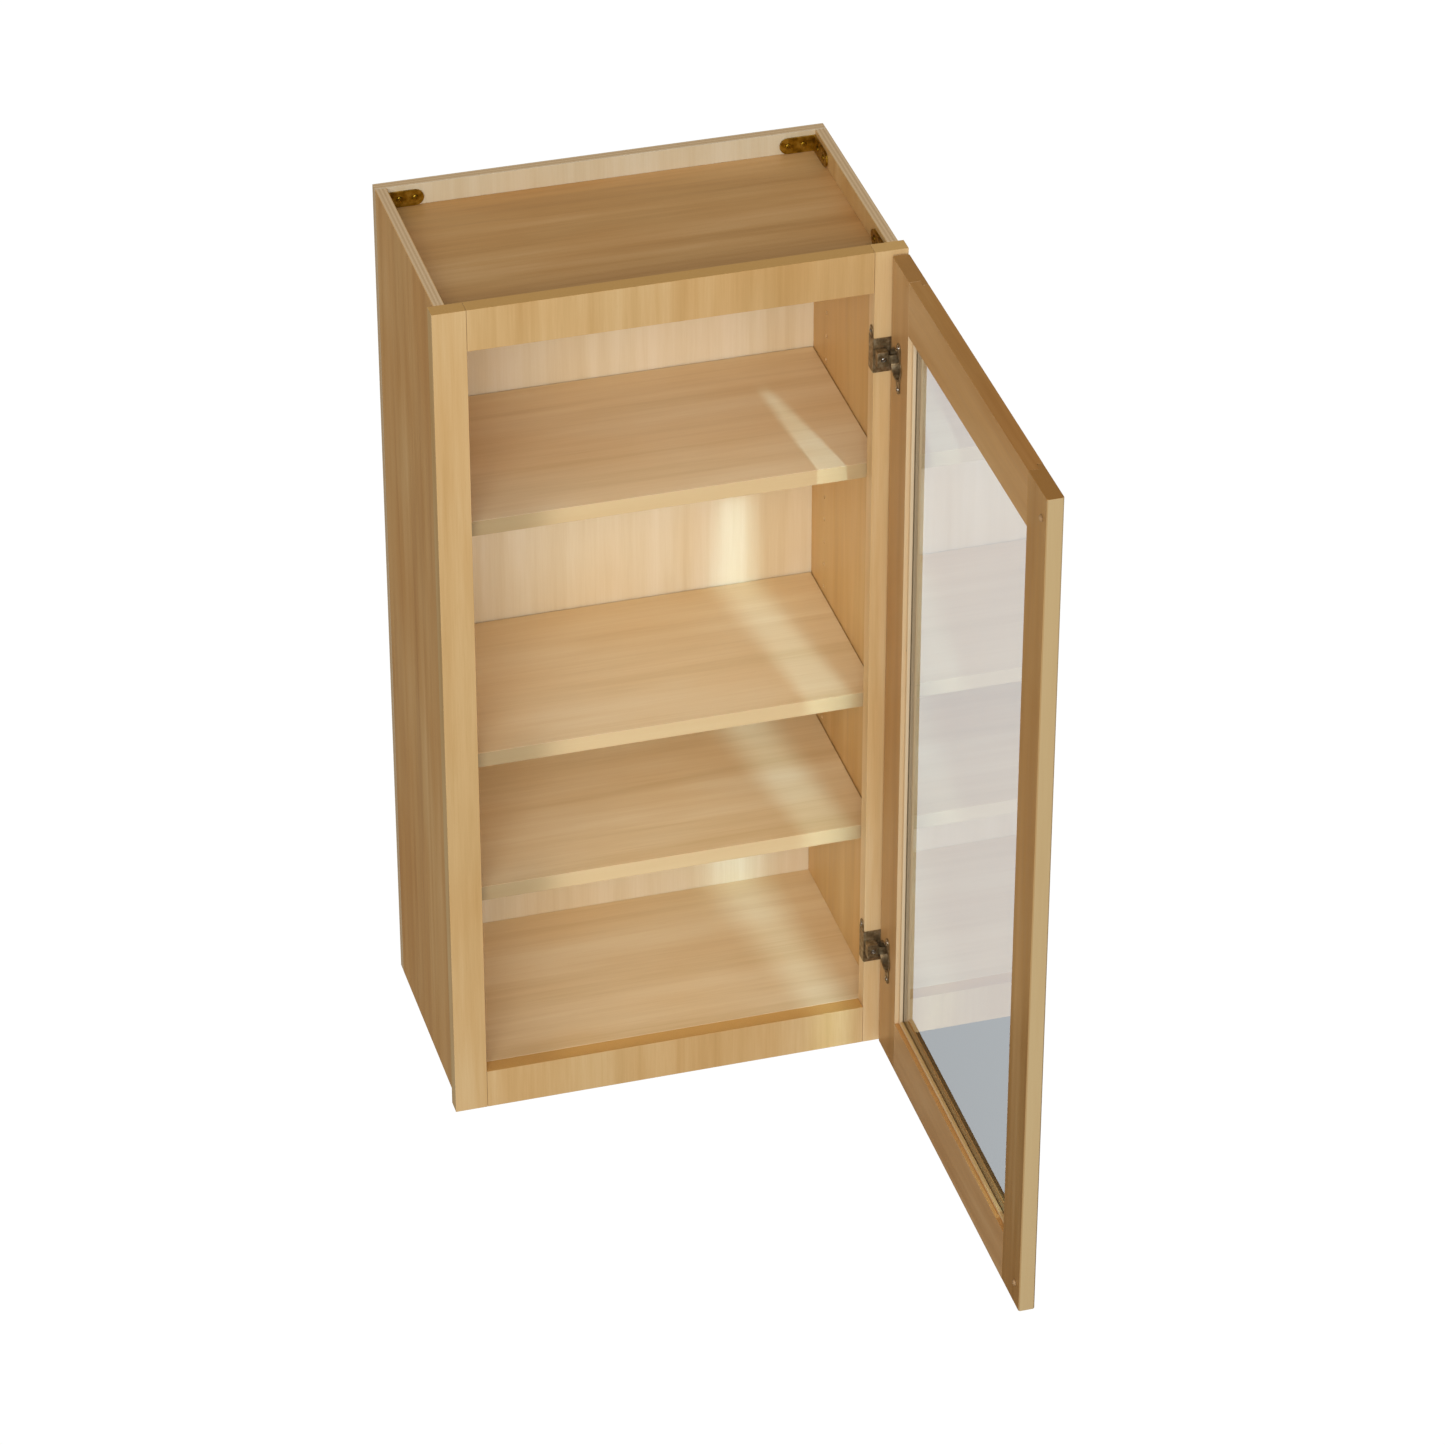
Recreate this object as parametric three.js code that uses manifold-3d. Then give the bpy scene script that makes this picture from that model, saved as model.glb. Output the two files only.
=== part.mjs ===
// A face-frame wall cabinet with one glazed shaker door, three loose shelves and concealed hinges.
// Millimetres. +X to the right, +Y towards the wall, +Z up. The origin is the middle of the back
// face, where the cabinet rests against the wall. The door stands open at a right angle.
import * as THREE from "three";
import { mergeVertices } from "three/addons/utils/BufferGeometryUtils.js";
import Module from "manifold-3d";

const wasm = await Module();
wasm.setup();

// Driving dimensions
const WIDTH = 533.4; // outside of the face frame
const HEIGHT = 1066.8;
const DEPTH = 301.6; // front of the face frame to the wall
const GAP = 0.3; // left between pieces that touch
const PAST = 1; // how far a cutting solid runs past the face it cuts
const FRAME_T = 19.05; // face frame
const STILE_W = 38.1;
const RAIL_W = 50.8;
const OVERHANG = 6.35; // face frame past each side panel
const PANEL_T = 12.7; // sides, back, top and bottom
const DADO = 6.35; // depth of the side grooves that hold top and bottom
const TOP_RECESS = 25.4; // top panel below the upper edges
const SHELF_T = 19;
const SHELF_BACK_CLEARANCE = 2;
const SHELF_FRONT_CLEARANCE = 4;
const SHELF_SIDE_CLEARANCE = 1;
const PIN_R = 2.4;
const PIN_HOLE_R = 2.7;
const PIN_DEPTH = 7;
const PIN_REACH = 8; // out of the side panel
const PADDLE_HALF_W = 3.2; // flat top of a pin, under the shelf
const PADDLE_LOW = 0.6;
const LOWEST_HOLE = 152.2; // above the bottom edge
const HOLE_PITCH = 30.65;
const HOLES_PER_COLUMN = 25;
const SHELF_HOLES = [20, 10, 4]; // hole that carries each shelf, counted from the lowest
const HOLE_INSET = 50; // hole columns from the frame and from the back

const DOOR_W = 525.5;
const DOOR_H = 1059.4;
const DOOR_T = 19.05;
const DOOR_REVEAL = 3.95; // hinge edge of the door to the edge of the face frame
const DOOR_BOTTOM = 3;
const DOOR_GAP = 3.2; // face frame to the closed door
const DOOR_STILE_W = 69.85;
const DOOR_RAIL_W = 76.2;
const RABBET_W = 9.525;
const RABBET_D = 12.7;
const GLASS_T = 3.2;
const BEAD_W = 5;
const BEAD_T = 4.4;
const GLASS_PLAY = 1.2; // room round the glass
const BUMPER_R = 4;
const BUMPER_INSET = 15; // centre in from the free edge
const BUMPER_END = 30; // centre in from the top or bottom edge
const EDGE_EASE = 1.2; // small bevel along the edges of the door members

const PIVOT_U = 7.2; // hinge pin in from the hinge edge of the door
const PIVOT_W = 9; // hinge pin in from the inner face of the door
const HINGE_Z = [938, 139];
const HINGE_NAMES = ["upper", "lower"];
const CUP_U = 20.5; // cup centre in from the hinge edge
const CUP_R = 17.45;
const CUP_WALL = 0.6;
const CUP_DEPTH = 12.8;
const CUP_BORE_R = 17.75;
const CUP_BORE_D = 13.2;
const CUP_RIM_R = 19.4;
const SHEET = 1; // steel of the hinge plates
const EAR_OFFSET = 9.5; // cup screws past the cup centre
const EAR_SCREW_Z = 26;
const EAR_END = 5.5; // ear past its screw
const EAR_W = 12;
const EAR_HEAD_R = 3.5;
const EAR_SCREW_LENGTH = 12;
const LUG_U = [5, 9.4]; // the pair of lugs inside the cup that hold the pin
const LUG_W_LOW = 6.8;
const LUG_Z = [5.4, 8.2];
const BASE_HALF_H = 21.5;
const BASE_FRONT_W = 24;
const BASE_SIDE_D = 15;
const TAB_H = 13;
const TAB_INSET = 2; // tab in from the edges of the wrap
const TAB_HEAD_R = 3.4;
const TAB_SCREW_LENGTH = 14;
const PLATE_HOLE_R = 1.9; // holes in the hinge plates
const PILOT_R = 1.7; // holes for the hinge screws in the wood
const SCREW_R = 1.4;
const HEAD_T = 1;

const BRACKET_X = 42; // leg along the back or the frame
const BRACKET_Y = 50; // leg along the side panel
const BRACKET_W = 19;
const BRACKET_T = 2.4;
const BRACKET_SCREWS = [14, 32];
const BRACKET_HOLE_R = 2;

// Inside faces, from the left end, the front and the bottom of the face frame
const INNER_LEFT = OVERHANG + PANEL_T;
const INNER_RIGHT = WIDTH - INNER_LEFT;
const INNER_BACK = DEPTH - PANEL_T;
const BOTTOM_TOP = RAIL_W;
const TOP_TOP = HEIGHT - TOP_RECESS;

// Hinge pin and the closed door's edges, in the same coordinates
const HINGE_EDGE = WIDTH - DOOR_REVEAL;
const PIVOT_X = HINGE_EDGE - PIVOT_U;
const PIVOT_Y = -DOOR_GAP - PIVOT_W;

const wood = (color, roughness) => ({ color, roughness, metalness: 0 });
const metal = (color, roughness) => ({ color, roughness, metalness: 1 });
const FRAME_WOOD = wood(0xc9a46c, 0.5);
const SIDE_WOOD = wood(0xb08350, 0.55);
const PANEL_WOOD = wood(0xd0ab78, 0.5);
const DOOR_WOOD = wood(0xb98a4f, 0.5);
const NICKEL = metal(0x6f665c, 0.35);
const PIN_STEEL = metal(0xb8b4ac, 0.3);
const YELLOW_ZINC = metal(0x9a7420, 0.4);

// Solids --------------------------------------------------------------------------------------

function solid(geometry) {
  const g = geometry.index ? geometry.toNonIndexed() : geometry.clone();
  g.deleteAttribute("normal");
  g.deleteAttribute("uv");
  const merged = mergeVertices(g, 1e-4);
  return new wasm.Manifold(
    new wasm.Mesh({
      numProp: 3,
      vertProperties: new Float32Array(merged.attributes.position.array),
      triVerts: new Uint32Array(merged.index.array),
    }),
  );
}

function geometryOf(manifold) {
  const mesh = manifold.getMesh();
  const positions = new Float32Array(mesh.numVert * 3);
  for (let i = 0; i < mesh.numVert; i++) {
    const start = i * mesh.numProp;
    positions.set(mesh.vertProperties.subarray(start, start + 3), i * 3);
  }
  const g = new THREE.BufferGeometry();
  g.setAttribute("position", new THREE.BufferAttribute(positions, 3));
  g.setIndex(new THREE.BufferAttribute(mesh.triVerts, 1));
  g.computeVertexNormals();
  return g;
}

// A box given by its two opposite corners.
function block(lo, hi) {
  const g = new THREE.BoxGeometry(hi[0] - lo[0], hi[1] - lo[1], hi[2] - lo[2]);
  g.translate((lo[0] + hi[0]) / 2, (lo[1] + hi[1]) / 2, (lo[2] + hi[2]) / 2);
  return solid(g);
}

// A round bar from one point along an axis.
function bar(radius, length, start, axis, segments = 16) {
  const g = new THREE.CylinderGeometry(radius, radius, length, segments);
  g.translate(0, length / 2, 0);
  if (axis === "x") g.rotateZ(-Math.PI / 2);
  if (axis === "z") g.rotateX(Math.PI / 2);
  g.translate(...start);
  return solid(g);
}

// A flat outline in X and Z, made thick along +Y.
function plateXZ(points, yLow, yHigh) {
  const shape = new THREE.Shape(points.map(([x, z]) => new THREE.Vector2(x, z)));
  const g = new THREE.ExtrudeGeometry(shape, { depth: yHigh - yLow, bevelEnabled: false });
  g.rotateX(Math.PI / 2);
  g.translate(0, yHigh, 0);
  return solid(g);
}

// An outline in X and Y, made tall along +Z.
function prismXY(points, zLow, zHigh) {
  const shape = new THREE.Shape(points.map(([x, y]) => new THREE.Vector2(x, y)));
  const g = new THREE.ExtrudeGeometry(shape, { depth: zHigh - zLow, bevelEnabled: false });
  g.translate(0, 0, zLow);
  return solid(g);
}

// The outline of a strip with one rounded end, from x = 0 to x = length.
function roundedStrip(length, width, steps = 8) {
  const r = width / 2;
  const points = [
    [0, -r],
    [length - r, -r],
  ];
  for (let i = 1; i < steps; i++) {
    const a = -Math.PI / 2 + (Math.PI * i) / steps;
    points.push([length - r + r * Math.cos(a), r * Math.sin(a)]);
  }
  points.push([length - r, r], [0, r]);
  return points;
}

const cabinet = new THREE.Group();
const carcass = new THREE.Group();
const door = new THREE.Group();
cabinet.add(carcass, door);

function addNode(group, name, manifold, finish) {
  const mesh = new THREE.Mesh(geometryOf(manifold), new THREE.MeshStandardMaterial(finish));
  mesh.name = name;
  group.add(mesh);
}

// Carcass -------------------------------------------------------------------------------------

const holeColumns = [FRAME_T + HOLE_INSET, INNER_BACK - HOLE_INSET];
const pinHeights = SHELF_HOLES.map((i) => LOWEST_HOLE + i * HOLE_PITCH);

function sidePanel(xOuter, inward) {
  const xInner = xOuter + inward * PANEL_T;
  const ends = [xOuter, xInner].sort((a, b) => a - b);
  let panel = block([ends[0], FRAME_T + GAP, 0], [ends[1], INNER_BACK - GAP, HEIGHT]);
  const dado = [xInner - inward * DADO, xInner + inward * PAST].sort((a, b) => a - b);
  for (const zTop of [BOTTOM_TOP, TOP_TOP]) {
    const low = [dado[0], FRAME_T - PAST, zTop - PANEL_T - GAP];
    const high = [dado[1], INNER_BACK + PAST, zTop + GAP];
    panel = panel.subtract(block(low, high));
  }
  for (const y of holeColumns) {
    for (let i = 0; i < HOLES_PER_COLUMN; i++) {
      const z = LOWEST_HOLE + i * HOLE_PITCH;
      const start = [inward > 0 ? xInner - PIN_DEPTH - PAST : xInner - PAST, y, z];
      panel = panel.subtract(bar(PIN_HOLE_R, PIN_DEPTH + 2 * PAST, start, "x", 8));
    }
  }
  return panel;
}

function buildCarcass() {
  addNode(carcass, "left_side_panel", sidePanel(OVERHANG, 1), SIDE_WOOD);
  addNode(carcass, "right_side_panel", sidePanel(WIDTH - OVERHANG, -1), SIDE_WOOD);
  const back = block([OVERHANG, INNER_BACK, 0], [WIDTH - OVERHANG, DEPTH, HEIGHT]);
  addNode(carcass, "back_panel", back, PANEL_WOOD);
  const xLow = INNER_LEFT - DADO + GAP;
  const xHigh = INNER_RIGHT + DADO - GAP;
  for (const [name, zTop] of [["bottom_panel", BOTTOM_TOP], ["top_panel", TOP_TOP]]) {
    const low = [xLow, FRAME_T + GAP, zTop - PANEL_T];
    const high = [xHigh, INNER_BACK - GAP, zTop];
    addNode(carcass, name, block(low, high), PANEL_WOOD);
  }
}

function buildFaceFrame() {
  for (const [side, x] of [["left", 0], ["right", WIDTH - STILE_W]]) {
    let stile = block([x, 0, 0], [x + STILE_W, FRAME_T, HEIGHT]);
    if (side === "right") {
      for (const z of HINGE_Z) {
        const start = [x - PAST, BASE_SIDE_D / 2, z + BASE_HALF_H + TAB_H / 2];
        stile = stile.subtract(bar(PILOT_R, TAB_SCREW_LENGTH + 2 * PAST, start, "x", 12));
      }
    }
    addNode(carcass, side + "_frame_stile", stile, FRAME_WOOD);
  }
  for (const [name, z] of [["bottom_frame_rail", 0], ["top_frame_rail", HEIGHT - RAIL_W]]) {
    const low = [STILE_W + GAP, 0, z];
    const high = [WIDTH - STILE_W - GAP, FRAME_T, z + RAIL_W];
    addNode(carcass, name, block(low, high), FRAME_WOOD);
  }
}

function shelfPin(xWall, inward) {
  const start = inward > 0 ? xWall - PIN_DEPTH + GAP : xWall - PIN_REACH;
  const post = bar(PIN_R, PIN_DEPTH - GAP + PIN_REACH, [start, 0, 0], "x", 12);
  const [low, high] = inward > 0 ? [xWall + GAP, xWall + PIN_REACH] : [xWall - PIN_REACH, xWall - GAP];
  return post.add(block([low, -PADDLE_HALF_W, PADDLE_LOW], [high, PADDLE_HALF_W, PIN_R]));
}

function buildShelves() {
  const names = ["upper", "middle", "lower"];
  names.forEach((shelf, i) => {
    const top = pinHeights[i] + PIN_R + GAP + SHELF_T;
    const low = [INNER_LEFT + SHELF_SIDE_CLEARANCE, FRAME_T + SHELF_FRONT_CLEARANCE, top - SHELF_T];
    const high = [INNER_RIGHT - SHELF_SIDE_CLEARANCE, INNER_BACK - SHELF_BACK_CLEARANCE, top];
    addNode(carcass, shelf + "_shelf", block(low, high), PANEL_WOOD);
    for (const [side, xWall, inward] of [["left", INNER_LEFT, 1], ["right", INNER_RIGHT, -1]]) {
      ["front", "rear"].forEach((place, k) => {
        const pin = shelfPin(xWall, inward).translate([0, holeColumns[k], pinHeights[i]]);
        addNode(carcass, [shelf, "shelf_pin", place, side].join("_"), pin, PIN_STEEL);
      });
    }
  });
}

// An L bracket for the rear left corner, its two outer faces on x = 0 and y = 0.
function cornerBracket() {
  const alongX = plateXZ(roundedStrip(BRACKET_X, BRACKET_W), -BRACKET_T, 0);
  let alongY = plateXZ(roundedStrip(BRACKET_Y, BRACKET_W), 0, BRACKET_T);
  alongY = alongY.rotate([0, 0, -90]);
  let bracket = alongX.add(alongY);
  for (const at of BRACKET_SCREWS) {
    const along = at * (BRACKET_Y / BRACKET_X);
    const through = BRACKET_T + 2 * PAST;
    bracket = bracket.subtract(bar(BRACKET_HOLE_R, through, [at, -BRACKET_T - PAST, 0], "y", 12));
    bracket = bracket.subtract(bar(BRACKET_HOLE_R, through, [-PAST, -along, 0], "x", 12));
  }
  return bracket;
}

function buildBrackets() {
  const levels = [
    ["top", TOP_TOP + GAP + BRACKET_W / 2],
    ["bottom", BOTTOM_TOP - PANEL_T - GAP - BRACKET_W / 2],
  ];
  for (const [level, z] of levels) {
    for (const [side, x, flipX] of [["left", INNER_LEFT + GAP, 1], ["right", INNER_RIGHT - GAP, -1]]) {
      for (const [place, y, flipY] of [["rear", INNER_BACK - GAP, 1], ["front", FRAME_T + GAP, -1]]) {
        const bracket = cornerBracket().scale([flipX, flipY, 1]).translate([x, y, z]);
        addNode(carcass, [level, "bracket", place, side].join("_"), bracket, YELLOW_ZINC);
      }
    }
  }
}

// Door, in its closed place with the hinge pin on x = 0 and y = 0 --------------------------------
// u runs in from the hinge edge, w runs from the inner face towards the front face.

function doorBlock(uRange, wRange, zRange) {
  const low = [PIVOT_U - uRange[1], PIVOT_W - wRange[1], zRange[0]];
  const high = [PIVOT_U - uRange[0], PIVOT_W - wRange[0], zRange[1]];
  return block(low, high);
}

// A bar along w, from the inner face side.
function doorBore(radius, length, u, w, z, segments = 32) {
  return bar(radius, length, [PIVOT_U - u, PIVOT_W - w - length, z], "y", segments);
}

const DOOR_TOP = DOOR_BOTTOM + DOOR_H;
const LIP = [RABBET_D, DOOR_T]; // front layer of each member
const INNER_STILE_W = DOOR_STILE_W - RABBET_W;
const INNER_RAIL_W = DOOR_RAIL_W - RABBET_W;

// Cuts the long outer edges of a stile at 45 degrees.
function easedStile(stile, u) {
  let eased = stile;
  for (const w of [0, DOOR_T]) {
    const cutter = block([-EDGE_EASE, -EDGE_EASE, -5], [EDGE_EASE, EDGE_EASE, DOOR_H + 10])
      .rotate([0, 0, 45])
      .translate([PIVOT_U - u, PIVOT_W - w, 0]);
    eased = eased.subtract(cutter);
  }
  return eased;
}

function doorStile(isHinge) {
  const zRange = [DOOR_BOTTOM, DOOR_TOP];
  const far = isHinge ? 0 : DOOR_W;
  const sign = isHinge ? 1 : -1;
  const span = (width) => [far, far + sign * width].sort((a, b) => a - b);
  const body = doorBlock(span(INNER_STILE_W), [0, RABBET_D + PAST], zRange);
  let stile = body.add(doorBlock(span(DOOR_STILE_W), LIP, zRange));
  stile = easedStile(stile, far);
  if (!isHinge) return stile;
  for (const z of HINGE_Z) {
    stile = stile.subtract(doorBore(CUP_BORE_R, CUP_BORE_D + PAST, CUP_U, -PAST, z, 36));
    for (const dz of [-EAR_SCREW_Z, EAR_SCREW_Z]) {
      const pilot = doorBore(PILOT_R, EAR_SCREW_LENGTH, CUP_U + EAR_OFFSET, -PAST, z + dz, 12);
      stile = stile.subtract(pilot);
    }
  }
  return stile;
}

function doorRail(isTop) {
  const far = isTop ? DOOR_TOP : DOOR_BOTTOM;
  const sign = isTop ? -1 : 1;
  const span = (width) => [far, far + sign * width].sort((a, b) => a - b);
  const bodyU = [INNER_STILE_W + GAP, DOOR_W - INNER_STILE_W - GAP];
  const lipU = [DOOR_STILE_W + GAP, DOOR_W - DOOR_STILE_W - GAP];
  const body = doorBlock(bodyU, [0, RABBET_D - GAP], span(INNER_RAIL_W));
  return body.add(doorBlock(lipU, [RABBET_D - 2, DOOR_T], span(INNER_RAIL_W))).add(
    doorBlock(lipU, LIP, span(DOOR_RAIL_W)),
  );
}

function buildGlazing() {
  const uLow = INNER_STILE_W + GAP;
  const uHigh = DOOR_W - INNER_STILE_W - GAP;
  const zLow = DOOR_BOTTOM + INNER_RAIL_W + GAP;
  const zHigh = DOOR_TOP - INNER_RAIL_W - GAP;
  const glassW = [RABBET_D - GAP - GLASS_T, RABBET_D - GAP];
  const glassU = [uLow + GLASS_PLAY, uHigh - GLASS_PLAY];
  const glass = doorBlock(glassU, glassW, [zLow + GLASS_PLAY, zHigh - GLASS_PLAY]);
  const pane = { color: 0xd8dedd, roughness: 0.05, metalness: 0, transparent: true, opacity: 0.35 };
  addNode(door, "glass_pane", glass, pane);
  const beadW = [glassW[0] - GAP - BEAD_T, glassW[0] - GAP];
  const beads = {
    hinge_side_glazing_bead: [[uLow, uLow + BEAD_W], [zLow, zHigh]],
    free_side_glazing_bead: [[uHigh - BEAD_W, uHigh], [zLow, zHigh]],
    bottom_glazing_bead: [[uLow + BEAD_W + GAP, uHigh - BEAD_W - GAP], [zLow, zLow + BEAD_W]],
    top_glazing_bead: [[uLow + BEAD_W + GAP, uHigh - BEAD_W - GAP], [zHigh - BEAD_W, zHigh]],
  };
  for (const [name, [uRange, zRange]] of Object.entries(beads)) {
    addNode(door, name, doorBlock(uRange, beadW, zRange), DOOR_WOOD);
  }
}

function buildBumpers() {
  const heights = [["upper_bumper", DOOR_TOP - BUMPER_END], ["lower_bumper", DOOR_BOTTOM + BUMPER_END]];
  const thick = DOOR_GAP - 2 * GAP;
  for (const [name, z] of heights) {
    const bumper = doorBore(BUMPER_R, thick, DOOR_W - BUMPER_INSET, GAP - DOOR_GAP, z, 20);
    addNode(door, name, bumper, { color: 0xb9b4a8, roughness: 0.6, metalness: 0 });
  }
}

function buildDoor() {
  addNode(door, "door_hinge_stile", doorStile(true), DOOR_WOOD);
  addNode(door, "door_free_stile", doorStile(false), DOOR_WOOD);
  addNode(door, "door_top_rail", doorRail(true), DOOR_WOOD);
  addNode(door, "door_bottom_rail", doorRail(false), DOOR_WOOD);
  buildGlazing();
  buildBumpers();
}

// Hinges --------------------------------------------------------------------------------------

// The steel wrap on the inner edge of the frame stile, with its screw tab.
function hingeBase(z) {
  const edge = WIDTH - STILE_W - GAP;
  const outline = [
    [edge - SHEET, -GAP - SHEET],
    [edge - SHEET + BASE_FRONT_W, -GAP - SHEET],
    [edge - SHEET + BASE_FRONT_W, -GAP],
    [edge, -GAP],
    [edge, BASE_SIDE_D],
    [edge - SHEET, BASE_SIDE_D],
  ];
  const wrap = prismXY(outline, z - BASE_HALF_H, z + BASE_HALF_H);
  const tabLow = [edge - SHEET, TAB_INSET, z + BASE_HALF_H - PAST];
  const tabHigh = [edge, BASE_SIDE_D - TAB_INSET, z + BASE_HALF_H + TAB_H];
  const through = SHEET + 2 * PAST;
  const holeStart = [edge - SHEET - PAST, BASE_SIDE_D / 2, z + BASE_HALF_H + TAB_H / 2];
  const hole = bar(PLATE_HOLE_R, through, holeStart, "x", 12);
  const adjusterStart = [ADJUSTER_X, -GAP - SHEET - PAST, z];
  const adjusterHole = bar(ADJUSTER_HOLE_R, through, adjusterStart, "y", 12);
  return wrap.add(block(tabLow, tabHigh)).subtract(hole).subtract(adjusterHole);
}

// The block of the arm that the cup closes over, and the middle line of the neck that runs from
// it round into the cup, in cabinet coordinates.
const ARM_BLOCK_LOW = [495.8, -13];
const ARM_BLOCK_HIGH = [508.6, -1.7];
const ARM_BLOCK_HALF_H = 9.3;
const ARM_T = 1.6;
const ARM_LINE = [
  [506, -9.5],
  [508.9, -11.3],
  [510.8, -13.3],
  [514.5, -13.8],
  [519, -13],
];

// A strip of even thickness along a line, as an outline.
function stripOutline(line, thickness) {
  const side = (sign) =>
    line.map(([x, y], i) => {
      const before = line[Math.max(i - 1, 0)];
      const after = line[Math.min(i + 1, line.length - 1)];
      const length = Math.hypot(after[0] - before[0], after[1] - before[1]);
      const nx = -(after[1] - before[1]) / length;
      const ny = (after[0] - before[0]) / length;
      return [x + (sign * nx * thickness) / 2, y + (sign * ny * thickness) / 2];
    });
  return [...side(-1), ...side(1).reverse()];
}

const BARREL_R = 2.1;
const BARREL_HALF_H = 5;
const HINGE_PIN_R = 0.9;
const PIN_CLEARANCE = 0.1;
const ADJUSTER_X = 502.8;
const ADJUSTER_R = 1.3;
const ADJUSTER_HOLE_R = 1.6;
const ADJUSTER_HEAD_R = 3;
const ADJUSTER_END = -0.6; // tip of the adjuster screw, short of the frame
const HINGE_PIN_LENGTH = 16;

function hingeArm(z) {
  const line = [...ARM_LINE, [PIVOT_X, PIVOT_Y]];
  const neck = prismXY(stripOutline(line, ARM_T), z - BARREL_HALF_H, z + BARREL_HALF_H);
  const foot = block(
    [...ARM_BLOCK_LOW, z - ARM_BLOCK_HALF_H],
    [...ARM_BLOCK_HIGH, z + ARM_BLOCK_HALF_H],
  );
  const barrel = bar(BARREL_R, 2 * BARREL_HALF_H, [PIVOT_X, PIVOT_Y, z - BARREL_HALF_H], "z", 20);
  const eyeHalf = BARREL_HALF_H + PAST;
  const eyeStart = [PIVOT_X, PIVOT_Y, z - eyeHalf];
  const eye = bar(HINGE_PIN_R + PIN_CLEARANCE, 2 * eyeHalf, eyeStart, "z", 12);
  const blockDepth = ARM_BLOCK_HIGH[1] - ARM_BLOCK_LOW[1];
  const screwStart = [ADJUSTER_X, ARM_BLOCK_LOW[1] - PAST, z];
  const screwHole = bar(ADJUSTER_HOLE_R, blockDepth + 2 * PAST, screwStart, "y", 12);
  return neck.add(foot).add(barrel).subtract(eye).subtract(screwHole);
}

function hingeCup(z) {
  const lift = SHEET + GAP; // top of the flange above the inner face
  const outer = doorBore(CUP_R, CUP_DEPTH + lift, CUP_U, -lift, z, 36);
  const bore = CUP_DEPTH + lift + PAST - CUP_WALL;
  const inner = doorBore(CUP_R - CUP_WALL, bore, CUP_U, -lift - PAST, z, 36);
  const rim = doorBore(CUP_RIM_R, SHEET, CUP_U, -lift, z, 36);
  const strip = roundedStrip(EAR_SCREW_Z + EAR_END, EAR_W);
  const outline = [...strip, ...strip.map(([a, b]) => [-a, -b])];
  const hull = outline.filter(([a]) => a !== 0);
  const ears = plateXZ(hull.map(([a, b]) => [b, a]).reverse(), 0, SHEET).translate([
    PIVOT_U - CUP_U - EAR_OFFSET,
    PIVOT_W + GAP,
    z,
  ]);
  let cup = outer.add(rim).add(ears).subtract(inner);
  for (const side of [-1, 1]) {
    const lug = LUG_Z.map((d) => z + side * d).sort((a, b) => a - b);
    cup = cup.add(doorBlock(LUG_U, [LUG_W_LOW, CUP_DEPTH - CUP_WALL / 3], lug).intersect(outer));
    const zScrew = z + side * EAR_SCREW_Z;
    const through = SHEET + 2 * PAST;
    cup = cup.subtract(doorBore(PLATE_HOLE_R, through, CUP_U + EAR_OFFSET, -lift - PAST, zScrew, 12));
  }
  const eyeHalf = HINGE_PIN_LENGTH / 2 + GAP;
  return cup.subtract(bar(HINGE_PIN_R + PIN_CLEARANCE, 2 * eyeHalf, [0, 0, z - eyeHalf], "z", 12));
}

function buildHinges() {
  HINGE_Z.forEach((z, i) => {
    const name = HINGE_NAMES[i] + "_hinge_";
    addNode(carcass, name + "base", hingeBase(z), NICKEL);
    addNode(carcass, name + "arm", hingeArm(z), NICKEL);
    addNode(door, name + "cup", hingeCup(z), NICKEL);
    const pinStart = [0, 0, z - HINGE_PIN_LENGTH / 2];
    const pin = bar(HINGE_PIN_R, HINGE_PIN_LENGTH, pinStart, "z", 12);
    addNode(door, name + "pin", pin, PIN_STEEL);

    const tabHead = bar(TAB_HEAD_R, HEAD_T, [0, 0, 0], "x", 20);
    const tabScrew = tabHead.add(bar(SCREW_R, TAB_SCREW_LENGTH, [HEAD_T / 2, 0, 0], "x", 12));
    const tabX = WIDTH - STILE_W - SHEET - 2 * GAP - HEAD_T;
    const tabZ = z + BASE_HALF_H + TAB_H / 2;
    const placed = tabScrew.translate([tabX, BASE_SIDE_D / 2, tabZ]);
    addNode(carcass, name + "base_screw", placed, PIN_STEEL);

    const armFace = ARM_BLOCK_LOW[1] - GAP;
    const headStart = [ADJUSTER_X, armFace - HEAD_T, z];
    const shankStart = [ADJUSTER_X, armFace - HEAD_T / 2, z];
    const shankLength = ADJUSTER_END - shankStart[1];
    const adjuster = bar(ADJUSTER_HEAD_R, HEAD_T, headStart, "y", 20);
    const shank = bar(ADJUSTER_R, shankLength, shankStart, "y", 12);
    addNode(carcass, name + "adjuster_screw", adjuster.add(shank), PIN_STEEL);

    for (const [end, side] of [["upper", 1], ["lower", -1]]) {
      const u = CUP_U + EAR_OFFSET;
      const zScrew = z + side * EAR_SCREW_Z;
      const under = -SHEET - 2 * GAP; // underside of the head
      const head = doorBore(EAR_HEAD_R, HEAD_T, u, under - HEAD_T, zScrew, 20);
      const shank = doorBore(SCREW_R, EAR_SCREW_LENGTH, u, under - HEAD_T / 2, zScrew, 12);
      const screw = head.add(shank);
      addNode(door, name + "cup_screw_" + end, screw, PIN_STEEL);
    }
  });
}

buildCarcass();
buildFaceFrame();
buildShelves();
buildBrackets();
buildDoor();
buildHinges();

// The door group turns on the hinge pins; the whole cabinet is measured from its back face.
door.position.set(PIVOT_X, PIVOT_Y, 0);
door.rotation.z = Math.PI / 2;
cabinet.position.set(-WIDTH / 2, -DEPTH, -HEIGHT / 2);
const root = new THREE.Group();
root.add(cabinet);

export default root;
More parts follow.
